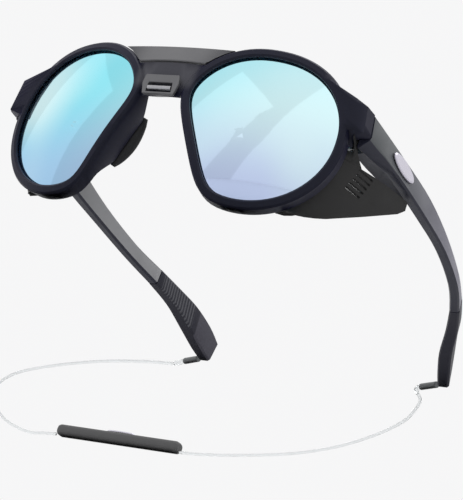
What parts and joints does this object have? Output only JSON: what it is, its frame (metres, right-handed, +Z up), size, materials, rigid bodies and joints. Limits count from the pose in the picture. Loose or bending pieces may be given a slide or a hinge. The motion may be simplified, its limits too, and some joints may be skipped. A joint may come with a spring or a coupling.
{
  "type": "glacier glasses",
  "caption": "Round wrapped sunglasses with folding temples, soft side shields under the temples, and a thin safety leash with a sleeve bar plugged into the temple tips.",
  "frame": {"origin": "centre of the glasses' footprint on the table, leash left out", "axes": "+X to the wearer's left, +Y from the lenses to the temple tips, +Z up; temples open, standing on rim bottoms and temple tips"},
  "size_m": [0.2773, 0.2668, 0.0566],
  "materials": {
    "frame": "satin dark navy",
    "plate": "satin grey",
    "lens": "pale blue mirror coating",
    "rubber": "matte",
    "shield": "matte",
    "temple": "satin grey violet",
    "steel": "satin",
    "badge": "satin",
    "dark": "semi gloss dark",
    "cord": "clear",
    "bar": "matte dark grey"
  },
  "bodies": {
    "front": {"front_frame": "frame", "brow_plate": "plate", "nose_clip": "plate", "clip_bar": "steel", "leash_bar": "bar", "leash_bar_inlay": "badge", "lens_left": "lens", "nose_pad_left": "rubber", "hinge_knuckle_lower_left": "steel", "hinge_knuckle_upper_left": "steel", "hinge_screw_left": "steel", "leash_cord_left": "cord", "lens_right": "lens", "nose_pad_right": "rubber", "hinge_knuckle_lower_right": "steel", "hinge_knuckle_upper_right": "steel", "hinge_screw_right": "steel", "leash_cord_right": "cord"},
    "temple_left": {"temple_left": "temple", "temple_hinge_left": "steel", "ear_sock_left": "rubber", "badge_left": "badge", "leash_plug_left": "dark", "leash_boot_left": "cord"},
    "shield_left": {"side_shield_left": "shield"},
    "temple_right": {"temple_right": "temple", "temple_hinge_right": "steel", "ear_sock_right": "rubber", "badge_right": "badge", "leash_plug_right": "dark", "leash_boot_right": "cord"},
    "shield_right": {"side_shield_right": "shield"}
  },
  "joints": [
    {"name": "temple_fold_left", "type": "hinge", "parent": "front", "child": "temple_left", "pos_m": [0.0626, -0.05023, 0.0335], "axis": [0, 0, 1], "range_deg": [0, 75]},
    {"name": "temple_fold_right", "type": "hinge", "parent": "front", "child": "temple_right", "pos_m": [-0.0626, -0.05023, 0.0335], "axis": [0, 0, -1], "range_deg": [0, 58]},
    {"name": "shield_pull_left", "type": "slide", "parent": "front", "child": "shield_left", "axis": [0.9659, 0.259, 0], "range_m": [0, 0.012]},
    {"name": "shield_pull_right", "type": "slide", "parent": "front", "child": "shield_right", "axis": [-0.9659, 0.259, 0], "range_m": [0, 0.012]}
  ]
}
